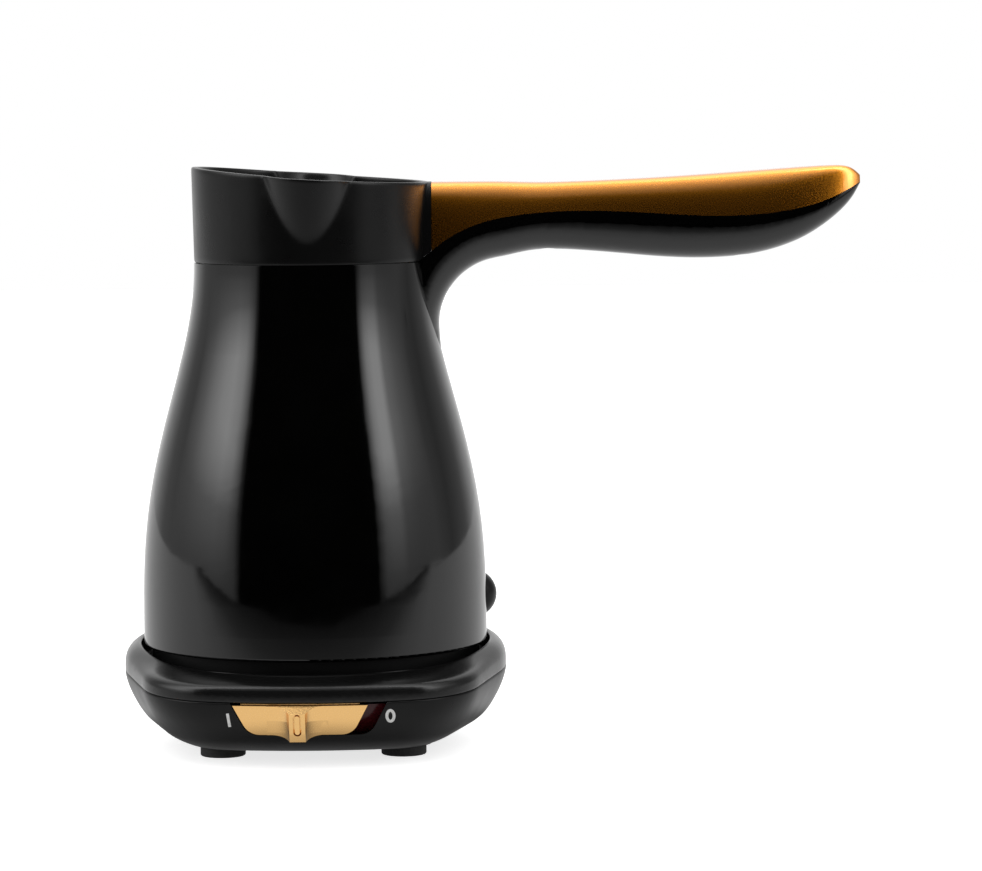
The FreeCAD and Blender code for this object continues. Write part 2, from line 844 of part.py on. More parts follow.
cover = cover.cut(rod(tray_hole, 0.0, through))
tray_skin = 0.6
for place in base_screw_places + connector_screw_places:
    cover = cover.cut(rod(screw_radius, 0.0, tray_floor - tray_skin, place))
parts["base_top"] = cover

base_screw_seat = floor_top + 3.0 - screw_head_height
parts["base_screws"] = Part.makeCompound(
    [
        screw(p, base_screw_seat, tray_floor - 2 * tray_skin - base_screw_seat - screw_head_height)
        for p in base_screw_places
    ]
)

# Round connector in the base: tower with a centre hole and a ring groove, on a flange
flange_low = tray_under - flange_thickness
collet_hole = collet_radius + running_clearance
groove_inner = ring_radius - ring_wall - 0.5
groove_outer = ring_radius + ring_wall + 0.2
tower_foot = flange_low - 2.0
tower = tube(tower_radius, collet_hole, tower_foot, tower_height)
tower_rims = [
    e for e in tower.Edges
    if abs(e.BoundBox.ZMin - tower_height) < 1e-6 and e.BoundBox.XMax > tower_radius - 1.0
]
tower = tower.makeFillet(1.2, tower_rims)
connector = tower.fuse(tube(flange_radius, tower_radius - 1.0, flange_low, tray_under))
groove_floor = flange_low + 1.5
connector = connector.cut(tube(groove_outer, groove_inner, groove_floor, tower_height + 1))
for place in connector_screw_places:
    connector = connector.cut(rod(screw_radius + screw_clearance, 0.0, through, place))
ring_tab_x = -(groove_outer - ring_wall / 2)
tab_drop = 7.0
tab_half = tab_width / 2
ring_tab = ((ring_tab_x - blade_thickness / 2, ring_tab_x + blade_thickness / 2), (-tab_half, tab_half))
connector = connector.cut(box(*ring_tab, (0.0, groove_floor + 1.0)))
parts["base_connector"] = connector
parts["base_connector_screws"] = Part.makeCompound(
    [
        screw(p, flange_low - screw_head_height, tray_floor - tray_skin - 0.2 - flange_low)
        for p in connector_screw_places
    ]
)

# Contacts of the base's connector: a ring with its tab, and a plate under the collet
contact_ring = tube(groove_outer - fit_gap, groove_outer - ring_wall, groove_floor, tower_height - 3.0)
contact_ring = contact_ring.fuse(box(*ring_tab, (tower_foot - tab_drop, groove_floor + 1.0)))
parts["ring_contact"] = contact_ring
centre_tab_x = 2.0
parts["centre_terminal"] = rod(collet_radius + 2.1, tower_foot - blade_thickness, tower_foot).fuse(
    box(
        (centre_tab_x, centre_tab_x + blade_thickness),
        (-tab_half, tab_half),
        (tower_foot - tab_drop, tower_foot - blade_thickness / 2),
    )
)
collet_low, collet_high = tower_foot + 0.3, tower_height - 1.0
collet = tube(collet_radius, pin_radius + 0.1, collet_low, collet_high)
parts["centre_contact"] = collet.fuse(rod(collet_radius, collet_low, collet_low + 2.0))

# Slider: gold plate and finger rib on the bowl's front, and the carriage behind the wall
plate_band = nose_band(-plate_proud, plate_thickness)
plate = plate_band.common(front_prism(plate_outline(slider_centre), plate_corner))
plate_top_height = nose_seam - plate_top_gap
lip_half, lip_top = plate_lip_width / 2, plate_top_height + plate_lip_height
lip_box = [
    (slider_centre - lip_half, plate_top_height - 1.0),
    (slider_centre + lip_half, plate_top_height - 1.0),
    (slider_centre + lip_half, lip_top),
    (slider_centre - lip_half, lip_top),
]
lip = nose_band(plate_thickness / 2, plate_thickness).common(front_prism(lip_box))


def front_inset(height):
    """Inset of the bowl's front surface at a height."""
    profile = bowl_profile(nose_seam, 0)[1:]
    for (d0, z0), (d1, z1) in zip(profile, profile[1:]):
        if z1 <= height <= z0:
            return d0 + (d1 - d0) * (z0 - height) / (z0 - z1)
    return profile[0][0]


rib_centre = slider_centre + rib_offset


def rib_section(height, sink):
    """Level section of the finger rib and its hollow flares, at a height on the sloped front."""
    y = -nose_reach + front_inset(max(height, plate_foot_height - rib_foot_drop)) - plate_proud
    half, wide = rib_width / 2, rib_width / 2 + rib_flare
    reach = rib_reach
    arc_left = Part.Arc(
        Vector(rib_centre - wide, y, height),
        Vector(rib_centre - half - rib_flare * 0.3, y - reach * 0.3, height),
        Vector(rib_centre - half, y - reach, height),
    )
    arc_right = Part.Arc(
        Vector(rib_centre + half, y - reach, height),
        Vector(rib_centre + half + rib_flare * 0.3, y - reach * 0.3, height),
        Vector(rib_centre + wide, y, height),
    )
    back = [
        Vector(rib_centre + wide, y, height),
        Vector(rib_centre + wide, y + sink, height),
        Vector(rib_centre - wide, y + sink, height),
        Vector(rib_centre - wide, y, height),
    ]
    edges = [arc_left.toShape(), Part.makeLine(arc_left.EndPoint, arc_right.StartPoint)]
    edges += [arc_right.toShape()] + [Part.makeLine(a, b) for a, b in zip(back, back[1:])]
    return Part.Wire(edges)


rib_heights = [plate_foot_height + rise for rise in (-3.5, 0.9, 4.9)] + [plate_top_height]
rib = Part.makeLoft([rib_section(z, 1.2) for z in rib_heights], True, True)
front_y = -nose_reach - rib_reach - 3.0
rib_back = -nose_reach + front_inset(plate_foot_height) + 5.0


def rib_cut(height_inside, height_outside, up):
    """Wedge that trims the rib's top or foot so that it slopes towards its outer face."""
    y_in = -nose_reach + front_inset(height_inside) - plate_proud
    far = height_inside + (15.0 if up else -15.0)
    slope = (height_outside - height_inside) / rib_reach
    side = through / 2
    points = [
        Vector(-side, rib_back, height_inside - slope * (rib_back - y_in)),
        Vector(-side, front_y, height_inside + slope * (y_in - front_y)),
        Vector(-side, front_y, far),
        Vector(-side, rib_back, far),
    ]
    return Part.Face(Part.makePolygon(points + points[:1])).extrude(Vector(through, 0, 0))


rib = rib.cut(rib_cut(plate_top_height, plate_top_height - rib_top_drop, True))
rib = rib.cut(rib_cut(plate_foot_height, plate_foot_height - rib_foot_drop, False))
rib_band = box((-through, through), (-through, rib_back), (0.0, plate_top_height - 0.4))
slot_low, slot_high = plate_foot_height + 0.2, plate_top_height - rib_top_drop + 0.4
rib_face_top = -nose_reach + front_inset(plate_top_height) - plate_proud - rib_reach
rib_face_low = -nose_reach + front_inset(slot_low) - plate_proud - rib_reach


def slot_form(width, near, depth, low, high):
    """Bar with round ends that follows the rib's sloped face, from before it to a depth."""
    points = []
    for z in (low, high):
        y = rib_face_low + (rib_face_top - rib_face_low) * (z - slot_low) / (plate_top_height - slot_low)
        points.append((y - near, z))
        points.append((y + depth, z))
    (a, b, c, d) = points
    corners = [Vector(rib_centre - width / 2, *spot) for spot in (a, b, d, c)]
    bar = Part.Face(Part.makePolygon(corners + corners[:1])).extrude(Vector(width, 0, 0))
    radius = width / 2
    ends = [rearward(radius, -through, 0.0, z, rib_centre) for z in (low + radius, high - radius)]
    side = (rib_centre - radius, rib_centre + radius)
    return bar.common(box(side, (-through, 0.0), (low + radius, high - radius)).multiFuse(ends))


rib = rib.cut(slot_form(slot_width, 3.0, slot_depth, slot_low, slot_high))
pip = slot_form(pip_width, 0.05, slot_depth + 0.3, slot_low + 0.5, slot_high - 0.5)
rib = rib.fuse(pip.common(rib_band))
peg_spacing = 18.0
peg_places = [slider_centre - peg_spacing / 2, slider_centre + peg_spacing / 2]
knob_z = plate_foot_height + 4.9
carriage_near = base_wall + carriage_gap
carriage_far = carriage_near + carriage_thickness
peg_band = nose_band(plate_thickness - 0.3, carriage_near)
pegs = [rearward(screw_radius, -nose_reach, 7.0 - nose_reach, knob_z, x).common(peg_band) for x in peg_places]
parts["switch_slider"] = joined([plate, lip, rib] + pegs)

carriage_foot, carriage_top = plate_foot_height - 1.6, nose_seam - 1.75
carriage_outline = [
    (slider_centre - plate_width / 2 - 5.5, carriage_top),
    (slider_centre - plate_width / 2 - 3.0, carriage_foot),
    (slider_centre + plate_foot_width / 2 - 6.0, carriage_foot),
    (slider_centre + plate_width / 2 - 6.0, carriage_top),
]
carriage = nose_band(carriage_near, carriage_far).common(front_prism(carriage_outline))
knob_y = 14.0 - nose_reach
knob_half = knob_width / 2
tine = knob_half + 2.0
fork_side = (slider_centre - tine, slider_centre + tine)
fork = box(fork_side, (knob_y - 9.0, knob_y + 1.0), (knob_z - 2.0, knob_z + 2.0))
fork_gap = (slider_centre - knob_half - 0.2, slider_centre + knob_half + 0.2)
fork = fork.cut(box(fork_gap, (knob_y - 2.6, knob_y + 2.0), (0.0, through)))
before_wall = -12.0
fork = fork.cut(nose_band(before_wall, carriage_near + 0.4))
parts["slider_carriage"] = joined([carriage, fork])

# Indicator lamp: a dark red lens behind the window's right end, and a lamp capsule in its tube
lens_near = carriage_far + 0.3
lens_far = lens_near + lens_thickness
lens_foot, lens_top = plate_foot_height - 1.4, nose_seam - 0.95
window_right = slider_travel / 2 + plate_width / 2 + window_clearance
lens_left = window_right - 15.8
lens_outline = [
    (lens_left, lens_top),
    (lens_left, lens_foot),
    (window_right + 0.7, lens_foot),
    (window_right + 2.7, lens_top),
]
lens = nose_band(lens_near, lens_far).common(front_prism(lens_outline))
lamp_x, lamp_z = window_right - 6.8, plate_foot_height + 4.4
lamp_front = 10.8 - nose_reach
lens_tube = rearward(lamp_radius + 1.2, lamp_front - 3.7, lamp_front + 6.3, lamp_z, lamp_x)
lens_tube = lens_tube.cut(rearward(lamp_radius + fit_gap, lamp_front, lamp_front + 9.0, lamp_z, lamp_x))
lens_tube = lens_tube.cut(nose_band(before_wall, lens_near + 0.5))
parts["indicator_lens"] = joined([lens, lens_tube])
lamp = rearward(lamp_radius, lamp_front, lamp_front + lamp_length, lamp_z, lamp_x)
lamp_rims = [e for e in lamp.Edges if abs(e.BoundBox.YMax - lamp_front) < 0.01 and e.isClosed()]
parts["neon_lamp"] = lamp.makeFillet(1.0, lamp_rims)

# Switch behind the slider: body on two posts, sliding knob, blade tabs
body_front, body_depth, ear_thickness = 16.0 - nose_reach, 10.0, 2.0
body_x = (-13.0, 8.0)
body_y = (body_front, body_front + body_depth)
body_z = (knob_z - 6.0, knob_z + 5.5)
slot_half = knob_half + 0.8
knob_slot = box(
    (slider_centre - slot_half, slider_centre + slot_half + slider_travel),
    (body_front - 1.0, body_front + 3.0),
    (knob_z - knob_half - 0.2, knob_z + knob_half + 0.2),
)
post_y = body_front + body_depth / 2
switch_posts = [(body_x[0] - post_radius, post_y), (body_x[1] + post_radius, post_y)]
ears = [
    box(
        (x - post_radius, x + post_radius),
        (post_y - post_radius, post_y + post_radius),
        (body_z[0], body_z[0] + ear_thickness),
    )
    for x, _ in switch_posts
]
switch_body = joined([box(body_x, body_y, body_z).cut(knob_slot)] + ears)
for place in switch_posts:
    switch_body = switch_body.cut(rod(screw_radius + screw_clearance, 0.0, through, place))
parts["switch_body"] = switch_body
parts["switch_knob"] = box(
    (slider_centre - knob_half, slider_centre + knob_half),
    (knob_y - knob_half, body_front + 2.8),
    (knob_z - knob_half, knob_z + knob_half),
)
posts = [rod(post_radius, floor_top - 0.5, body_z[0], p) for p in switch_posts]
bowl = bowl.multiFuse([p.common(bowl_outer) for p in posts])
post_hole_low = floor_top + 0.8
for place in switch_posts:
    bowl = bowl.cut(rod(screw_radius, post_hole_low, body_z[0] + 1.0, place))
parts["switch_screws"] = Part.makeCompound(
    [screw(p, body_z[0] + ear_thickness + screw_head_height, 4.0, -1) for p in switch_posts]
)
tab_length = 6.0
tab_places = [body_x[0] + 4.0, body_x[1] - 4.0]
tab_z = (knob_z - 1.0, knob_z - 1.0 + blade_thickness)
parts["switch_tabs"] = Part.makeCompound(
    [box((x - tab_half, x + tab_half), (body_y[1], body_y[1] + tab_length), tab_z) for x in tab_places]
)

# Handle: one outer form with a hollow and two screw bosses, parted along the seam and split line
handle_outer = handle_form()
handle_hollow = handle_form(handle_wall)
handle_screw_shares = (0.27, 0.72)
handle_screw_x = [handle_root + share * handle_length for share in handle_screw_shares]
handle_bosses = [rod(boss_radius, 0.0, through, (x, 0.0)).common(handle_outer) for x in handle_screw_x]
handle_solid = joined([handle_outer.cut(handle_hollow)] + handle_bosses)
upper = above_seam()
upper_half = handle_solid.common(upper)
lower_half = handle_solid.cut(upper)

# Shell: bell wall with its bottom ledge, the spigot inside the collar, and the handle's lower half
inside_radius = neck_radius - shell_wall
bell = bell_solid(0.0, pot_bottom, neck_height, bottom_corner)
bell_space = bell_solid(shell_wall, pot_bottom - 5.0, neck_height + 1.0)
belly_inside = belly_radius - shell_wall
ledge_inside = belly_inside - ledge_width
ledge = tube(belly_inside + 0.5, ledge_inside, ledge_height, ledge_height + ledge_thickness)
spigot_inner = inside_radius - 0.6
spigot = turned(
    [
        (spigot_inner, neck_height - 3.0),
        (inside_radius + 0.4, neck_height - 3.0),
        (spigot_radius, neck_height - 0.6),
        (spigot_radius, neck_height + spigot_height),
        (spigot_inner, neck_height + spigot_height),
    ]
)
handle_keep = rod(inside_radius + 0.3, 0.0, through)
lower_shell = lower_half.cut(bell_space).cut(handle_keep)
shell = joined([bell.cut(bell_space), ledge, spigot, lower_shell])
shell_boss_height = 8.0
shell_screw_places = around(4, ledge_inside + post_radius - 0.1, 45.0)
shell_bosses = [
    rod(post_radius - 0.1, ledge_height + 0.5, ledge_height + shell_boss_height, p)
    for p in shell_screw_places
]
shell = joined([shell] + shell_bosses)
for place in shell_screw_places:
    shell = shell.cut(rod(screw_radius, ledge_height - 1.0, ledge_height + shell_boss_height - 1.0, place))


def handle_low(x):
    """Height of the handle's lower edge at a place along it."""
    return handle_height + smooth_line(handle_belly_line, (x - handle_root) / handle_length)


def handle_top(x):
    """Height of the handle's upper edge at a place along it."""
    return handle_height + smooth_line(handle_top_line, (x - handle_root) / handle_length)


def tongue(grow=0.0):
    """Block on the collar that locates the handle cover, or the pocket for it."""
    half = tongue_half_width + grow
    low, high = neck_height + 3.0 - grow, handle_height - 2.0 + grow
    return box((handle_root - 1.0, handle_root + tongue_length + 2 * grow), (-half, half), (low, high))


counterbore = 4.0
for x in handle_screw_x:
    seat = handle_low(x) + counterbore
    shell = shell.cut(rod(screw_head_radius + head_clearance, root_height, seat, (x, 0.0)))
    shell = shell.cut(rod(screw_radius + screw_clearance, root_height, through, (x, 0.0)))
parts["body_shell"] = shell

before_handle = box((-through, handle_root + handle_gap), (-through, through), (0.0, through))
gold = upper_half.cut(before_handle).cut(tongue(tongue_clearance))
handle_skin = 2.5
handle_screws = []
for x in handle_screw_x:
    seat = handle_low(x) + counterbore
    gold = gold.cut(rod(screw_radius, root_height, handle_top(x) - handle_skin, (x, 0.0)))
    shank = handle_top(x) - handle_skin - 0.5 - seat
    handle_screws.append(screw((x, 0.0), seat - screw_head_height, shank))
parts["handle_cover"] = gold
parts["handle_screws"] = Part.makeCompound(handle_screws)

# Collar: rim and spouts, with a shelf over the cup's flange and a boss that the handle butts on
collar_low = neck_height + collar_gap
cup_flange_low = neck_height + spigot_height
seal_low = cup_flange_low + cup_wall
shelf_height = seal_low + seal_thickness
shelf_top = shelf_height + 1.5
shelf_radius = cup_neck_radius + 0.3
boss = handle_outer.common(upper)
boss = boss.common(box((neck_radius - 9.0, handle_root), (-through, through), (collar_low, through)))
boss = boss.cut(rod(collar_radius_low - 0.8, 0.0, through))
collar = joined([collar_form(), boss, tongue()])
collar = collar.cut(rod(shelf_radius, 0.0, shelf_top + 1.5))
collar = collar.cut(rod(spigot_radius + fit_gap, 0.0, shelf_height))
collar = collar.cut(rod(collar_radius_low - collar_wall, shelf_top, shelf_top + 8.0))
collar = collar.common(above_seam(collar_gap))
parts["pouring_collar"] = collar

# Stainless cup: it hangs by its flange on the spigot, with a silicone ring between flange and shelf
wall_low, wall_high = cup_floor + 20.0, neck_height - 8.0
cup_levels = [wall_low + (wall_high - wall_low) * k / 6 for k in range(7)]


def cup_outline(sink):
    """Half section of the cup's outside, or of its inside, from the axis out to its mouth."""
    gap = shell_wall + cup_gap + sink
    neck = cup_neck_radius + cup_wall - sink
    side = [Vector(bell_radius(z) - gap, 0, z) for z in cup_levels[:-1]]
    side += [Vector(neck, 0, cup_levels[-1] + 3.0), Vector(neck, 0, neck_height)]
    curve = Part.BSplineCurve()
    curve.interpolate(side)
    floor_z = cup_floor - cup_wall + sink
    corner = cup_corner - sink
    wall = bell_radius(cup_floor + cup_corner) - gap
    bulge = corner * (1 - math.sqrt(0.5))
    arc = Part.Arc(
        Vector(wall - corner, 0, floor_z),
        Vector(wall - bulge, 0, floor_z + bulge),
        Vector(wall, 0, floor_z + corner),
    )
    top = cup_flange_low + cup_wall + (1.0 if sink else 0.0)
    edges = [
        Part.makeLine(Vector(0, 0, floor_z), arc.StartPoint),
        arc.toShape(),
        Part.makeLine(arc.EndPoint, side[0]),
        curve.toShape(),
        Part.makeLine(side[-1], Vector(neck, 0, top)),
        Part.makeLine(Vector(neck, 0, top), Vector(0, 0, top)),
        Part.makeLine(Vector(0, 0, top), Vector(0, 0, floor_z)),
    ]
    return Part.Face(Part.Wire(edges)).revolve(Vector(0, 0, 0), Vector(0, 0, 1), 360)


cup_flange_radius = spigot_radius - 0.3
cup = cup_outline(0.0).fuse(tube(cup_flange_radius, cup_neck_radius, cup_flange_low, seal_low))
parts["steel_vessel"] = cup.cut(cup_outline(cup_wall))
parts["collar_seal"] = tube(cup_flange_radius, shelf_radius + 0.2, seal_low, shelf_height)

# Heater under the cup: plate with a tubular element in its groove
heater_top = cup_floor - cup_wall
heater_low = heater_top - heater_thickness
element_height = heater_low - 1.4
groove = Part.makeTorus(element_radius, element_tube_radius, Vector(0, 0, element_height))
parts["heater_plate"] = rod(heater_radius, heater_low, heater_top).cut(groove)
half_gap = element_radius * math.sin(math.radians(element_gap / 2))
element_end = -math.sqrt(element_radius**2 - half_gap**2)
parts["heating_element"] = groove.cut(box((-through, 0.0), (-half_gap, half_gap), (0.0, through)))


def lying(radius, x, y, height):
    """Cylinder that lies front to back at a place, between two distances."""
    return Part.makeCylinder(radius, y[1] - y[0], Vector(x, y[0], height), Vector(0, 1, 0))


pin_start = half_gap - element_pin_length
parts["element_terminals"] = Part.makeCompound(
    [
        lying(element_pin_radius, element_end, (pin_start, half_gap), element_height),
        lying(element_pin_radius, element_end, (-half_gap, -pin_start), element_height),
    ]
)

# Thermostat pressed to the plate by a bent steel strap, and a thermal fuse in its clip
thermostat_place = (0.0, thermostat_offset)
thermostat_low = heater_low - thermostat_height
fuse_height = heater_low - fuse_radius - fit_gap
blade_reach, blade_width = 1.5, 3.0
blade_angles = (35.0, 145.0)
thermostat = rod(thermostat_radius, thermostat_low, heater_low, thermostat_place)
for angle in blade_angles:
    blade = box(
        (0.0, thermostat_radius + blade_reach),
        (-blade_width / 2, blade_width / 2),
        (fuse_height - blade_thickness / 2, fuse_height + blade_thickness / 2),
    )
    blade.rotate(Vector(0, 0, 0), Vector(0, 0, 1), angle)
    blade.translate(Vector(*thermostat_place))
    thermostat = thermostat.fuse(blade)
parts["thermostat"] = thermostat
strap_y = (thermostat_offset - strap_width / 2, thermostat_offset + strap_width / 2)
strap_low = thermostat_low - strap_thickness
strap_half = strap_span / 2
parts["thermostat_bracket"] = joined(
    [
        box((-strap_half, strap_half), strap_y, (strap_low, thermostat_low)),
        box((-strap_half, strap_thickness - strap_half), strap_y, (strap_low, heater_low)),
        box((strap_half - strap_thickness, strap_half), strap_y, (strap_low, heater_low)),
    ]
)
fuse_y = (-fuse_length / 2, fuse_length / 2)
parts["thermal_fuse"] = lying(fuse_radius, fuse_offset, fuse_y, fuse_height)
clip_half = fuse_radius + 1.0
clip = box(
    (fuse_offset - clip_half, fuse_offset + clip_half),
    (-strap_width / 2, strap_width / 2),
    (fuse_height - fuse_radius - 0.7, heater_low),
)
parts["fuse_clip"] = clip.cut(lying(fuse_radius + 0.02, fuse_offset, fuse_y, fuse_height))

# Bottom cover of the pot: disc with a foot ring that stands in the tray, sealed against the ledge
cover_radius = belly_inside - 0.15
cover_low = pot_bottom + 0.6
cover_top = cover_low + cover_thickness
foot_ring_radius = cover_radius - 0.3
cap_inner = tower_radius + connector_clearance
cap_outer = cap_inner + 1.5
connector_hole = cap_outer + fit_gap
pot_connector_places = around(3, cap_outer + 3.5, 90.0)
foot_ring = tube(foot_ring_radius, foot_ring_radius - foot_ring_wall, tray_floor + seat_gap, cover_low + 0.5)
cover_posts = [rod(3.2, cover_low - 3.2, cover_top - 0.5, p) for p in pot_connector_places]
bottom = joined([rod(cover_radius, cover_low, cover_top), foot_ring] + cover_posts)
bottom = bottom.cut(rod(connector_hole, 0.0, through))
for place in pot_connector_places:
    bottom = bottom.cut(rod(screw_radius, cover_low - 2.0, through, place))
for place in shell_screw_places:
    bottom = bottom.cut(rod(screw_radius + screw_clearance, 0.0, through, place))
parts["bottom_cover"] = bottom
parts["bottom_seal"] = tube(cover_radius - 0.1, cover_radius - 2.2, cover_top, ledge_height)
shank = ledge_height + shell_boss_height - 2.0 - cover_low
parts["bottom_screws"] = Part.makeCompound(
    [screw(p, cover_low - screw_head_height, shank) for p in shell_screw_places]
)

# Connector of the pot: a cap over the base's tower, with the centre pin and the ring contact
cap_roof = tower_height + connector_clearance
cap_top = cap_roof + 2.0
cap_flange_top = cover_top + 2.0
cap = tube(cap_outer, cap_inner, cover_low, cap_top)
cap = cap.fuse(rod(cap_outer, cap_roof, cap_top))
cap = cap.fuse(tube(cap_outer + 7.0, cap_inner, cover_top, cap_flange_top))
cap = cap.cut(rod(pin_radius, 0.0, through))
pin_tab = ((-ring_radius, ring_wall - ring_radius), (-tab_half, tab_half))
cap = cap.cut(box(*pin_tab, (0.0, through)))
for place in pot_connector_places:
    cap = cap.cut(rod(screw_radius + screw_clearance, 0.0, through, place))
parts["pot_connector"] = cap
parts["pot_connector_screws"] = Part.makeCompound(
    [screw(p, cap_flange_top + screw_head_height, 5.6, -1) for p in pot_connector_places]
)
pin_low, pin_top = collet_low + 3.7, cap_top + 2.0
pin = rod(pin_radius, pin_low, pin_top)
pin_rims = [e for e in pin.Edges if abs(e.BoundBox.ZMax - pin_low) < 1e-3]
parts["pot_contact_pin"] = pin.makeFillet(pin_radius / 2, pin_rims)
ring_low = groove_floor + 3.0
ring_contact = tube(ring_radius, ring_radius - ring_wall, ring_low, cap_roof)
ring_blade_top = cap_top + 1.5
ring_blade = box(
    (pin_tab[0][0] + 0.05, pin_tab[0][1] - 0.05),
    (pin_tab[1][0] + fit_gap, pin_tab[1][1] - fit_gap),
    (cap_roof - 1.0, ring_blade_top),
)
parts["pot_contact_ring"] = ring_contact.fuse(ring_blade)

# Leads inside the pot: pin to fuse, fuse to thermostat, thermostat to element, element to ring
fuse_end = fuse_length / 2
lead_rise = 1.9


def blade_point(angle, reach):
    """Place beyond the thermostat in the direction of one of its blades."""
    a = math.radians(angle)
    return (reach * math.cos(a), thermostat_offset + reach * math.sin(a), fuse_height)


blade_end = thermostat_radius + blade_reach
pot_leads = {
    "pot_live_lead": [
        (0.0, 0.0, pin_top),
        (0.0, 0.0, pin_top + lead_rise),
        (6.5, -8.0, pin_top + lead_rise),
        (fuse_offset, -fuse_end - 5.0, fuse_height),
        (fuse_offset, -fuse_end, fuse_height),
    ],
    "pot_fuse_lead": [
        (fuse_offset, fuse_end, fuse_height),
        (fuse_offset, fuse_end + 4.0, fuse_height),
        blade_point(blade_angles[0], blade_end + 2.2),
        blade_point(blade_angles[0], blade_end),
    ],
    "pot_heater_lead": [
        blade_point(blade_angles[1], blade_end),
        blade_point(blade_angles[1], blade_end + 2.2),
        (-16.0, 9.0, fuse_height),
        (element_end, 2.0, element_height),
        (element_end, pin_start, element_height),
    ],
    "pot_neutral_lead": [
        (sum(pin_tab[0]) / 2, 0.0, ring_blade_top),
        (sum(pin_tab[0]) / 2, 0.0, ring_blade_top + lead_rise),
        (-16.0, -2.0, fuse_height),
        (element_end, -1.6, element_height),
        (element_end, -pin_start, element_height),
    ],
}
for name, route in pot_leads.items():
    parts[name] = wire([Vector(*spot) for spot in route], lead_radius, 1.6)

# Small domed cap, seated on the shell's curve
cap_height = pot_bottom + cap_rise
dome_reach = belly_radius + cap_dome
dome_depth = cap_dome + 1.0
dome_sphere = (cap_radius**2 + dome_depth**2) / (2 * dome_depth)
dome = Part.makeSphere(dome_sphere, Vector(dome_reach - dome_sphere, 0, cap_height))
rim = Part.makeCylinder(cap_radius, 20.0, Vector(belly_radius - 6.0, 0, cap_height), Vector(1, 0, 0))
dome = dome.common(rim)
dome.rotate(Vector(0, 0, 0), Vector(0, 0, 1), cap_angle)
parts["rear_cap"] = dome.cut(bell_solid(0.0, pot_bottom, neck_height))

# Inside the base: terminal block on a post, clamp bar over the cord's place, and the leads
clamp_y = inlet_wall - clamp_distance
block_x = (-20.0, -4.0)
block_y = (clamp_y - 13.0, clamp_y - 4.0)
block_z = (floor_top + 2.2, floor_top + 9.2)
block_post = (sum(block_x) / 2, sum(block_y) / 2)
clamp_x = (block_x[0] + 3.5, block_x[1] - 3.5)
barrel_radius, barrel_bore, barrel_z = 1.9, 1.1, sum(block_z) / 2
block = box(block_x, block_y, block_z)
block = block.cut(rod(screw_radius + screw_clearance, 0.0, through, block_post))
barrels = []
for x in clamp_x:
    barrel = lying(barrel_radius, x, block_y, barrel_z)
    block = block.cut(barrel)
    barrels.append(barrel.cut(lying(barrel_bore, x, (block_y[0] + 3.0, through), barrel_z)))
parts["terminal_block"] = block
parts["terminal_clamps"] = Part.makeCompound(barrels)
clamp_posts = [(-clamp_spacing / 2, clamp_y), (clamp_spacing / 2, clamp_y)]
bar_low = inlet_height + 1.0
bar_top = bar_low + clamp_thickness
bar_y = (clamp_y - clamp_width / 2, clamp_y + clamp_width / 2)
bar = box((-clamp_length / 2, clamp_length / 2), bar_y, (bar_low, bar_top))
bar = bar.cut(lying(inlet_radius, 0.0, (0.0, through), inlet_height))
for place in clamp_posts:
    bar = bar.cut(rod(screw_radius + screw_clearance, 0.0, through, place))
parts["cord_clamp"] = bar
inner_posts = [rod(post_radius + 1.0, floor_top - 0.5, block_z[0], block_post)]
inner_posts += [rod(post_radius, floor_top - 0.5, bar_low, p).common(bowl_outer) for p in clamp_posts]
bowl = bowl.multiFuse(inner_posts)
bowl = bowl.cut(rod(screw_radius, post_hole_low, block_z[0] + 1.0, block_post))
for place in clamp_posts:
    bowl = bowl.cut(rod(screw_radius, post_hole_low, bar_low + 1.0, place))
parts["base_bottom"] = bowl
block_shank = block_z[1] - post_hole_low - 0.2
parts["cord_clamp_screws"] = Part.makeCompound(
    [screw(p, bar_top + screw_head_height, clamp_thickness + 5.0, -1) for p in clamp_posts]
    + [screw(block_post, block_z[1] + screw_head_height, block_shank, -1)]
)
tab_end = body_y[1] + tab_length
tab_mid = sum(tab_z) / 2
block_front = block_y[0]
lead_floor = floor_top + 4.2
centre_x = centre_tab_x + blade_thickness / 2
base_leads = {
    "base_live_lead": [
        (clamp_x[0], block_front, barrel_z),
        (clamp_x[0], block_front - 4.0, barrel_z),
        (clamp_x[0], block_front - 14.0, lead_floor),
        (-20.0, -8.0, lead_floor),
        (tab_places[0], tab_end + 8.0, tab_mid),
        (tab_places[0], tab_end, tab_mid),
    ],
    "base_switched_lead": [
        (tab_places[1], tab_end, tab_mid),
        (tab_places[1], tab_end + 5.0, tab_mid),
        (tab_places[1], tab_end + 14.0, lead_floor),
        (centre_x, -5.0, lead_floor - 1.0),
        (centre_x, 0.0, lead_floor - 0.5),
        (centre_x, 0.0, tower_foot - tab_drop),
    ],
    "base_neutral_lead": [
        (clamp_x[1], block_front, barrel_z),
        (clamp_x[1], block_front - 4.0, barrel_z),
        (clamp_x[1], block_front - 14.0, lead_floor),
        (ring_tab_x, 5.0, lead_floor - 1.0),
        (ring_tab_x, 0.0, lead_floor - 0.5),
        (ring_tab_x, 0.0, tower_foot - tab_drop),
    ],
}
for name, route in base_leads.items():
    parts[name] = wire([Vector(*spot) for spot in route], lead_radius, 2.0)

for name, shape in parts.items():
    shape.exportStep("parts/%s.step" % name)
    print(name, len(shape.Solids), shape.isValid(), round(shape.Volume, 1))
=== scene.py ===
import math

